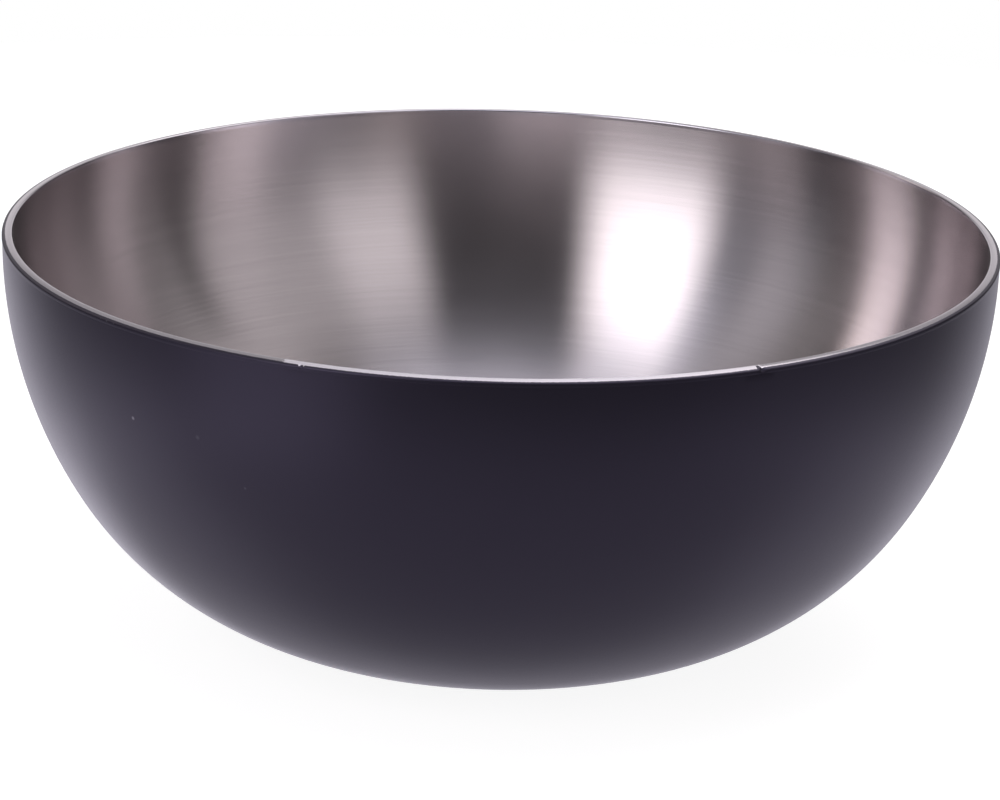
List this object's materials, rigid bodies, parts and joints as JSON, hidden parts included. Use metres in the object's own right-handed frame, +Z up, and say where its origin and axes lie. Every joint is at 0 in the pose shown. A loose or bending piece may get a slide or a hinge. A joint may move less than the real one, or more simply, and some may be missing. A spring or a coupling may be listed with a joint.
{
  "type": "shaving bowl",
  "caption": "Open round steel bowl for working up shaving lather, with a brushed inner bowl, a dark satin outer shell, a narrow rounded lip and a flat base.",
  "frame": {"origin": "centre of the base, on the plane that the bowl stands on", "axes": "+Z up along the bowl's axis, out of its mouth; X and Y are free, because the bowl is round"},
  "size_m": [0.12, 0.12, 0.0488],
  "materials": {
    "brushed_steel": "fine brushing round the bowl's axis",
    "dark_coat": "satin blue-black coat",
    "weld_steel": "dull, as welded and cleaned"
  },
  "bodies": {
    "root": {"inner_bowl": "brushed_steel", "outer_shell": "dark_coat", "rim_weld": "weld_steel"}
  },
  "joints": []
}
